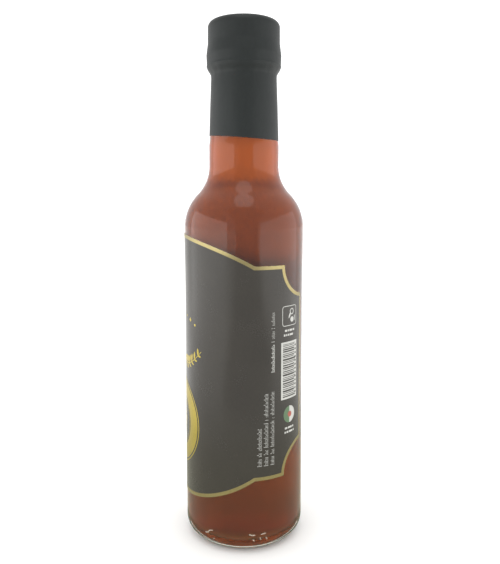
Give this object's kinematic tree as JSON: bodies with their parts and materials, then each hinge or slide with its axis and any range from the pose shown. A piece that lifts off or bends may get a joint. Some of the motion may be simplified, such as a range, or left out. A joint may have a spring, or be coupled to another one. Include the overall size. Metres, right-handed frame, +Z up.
{
  "type": "vinegar bottle",
  "caption": "Round clear glass bottle of amber vinegar with a matt dark shrink capsule over its closure and a dark die-cut wrap-around label edged in gold.",
  "frame": {"origin": "centre of the bottle's base, at the height it stands on", "axes": "+Z up along the bottle's axis, -Y out of the middle of the label"},
  "size_m": [0.053, 0.0529, 0.2266],
  "materials": {
    "glass": "clear flint glass, very slightly green, smooth, with fine moulding waves",
    "vinegar": "clear amber red-brown vinegar",
    "capsule": "matt charcoal black shrink film with a soft sheen",
    "label": "satin black coated paper",
    "gold_foil": "hot-stamped metallic gold of the label's border and ornament",
    "print": "pale matt ink of the label's small print"
  },
  "bodies": {
    "root": {"glass_bottle": "glass", "vinegar": "vinegar", "capsule": "capsule", "label": "label"}
  },
  "joints": []
}
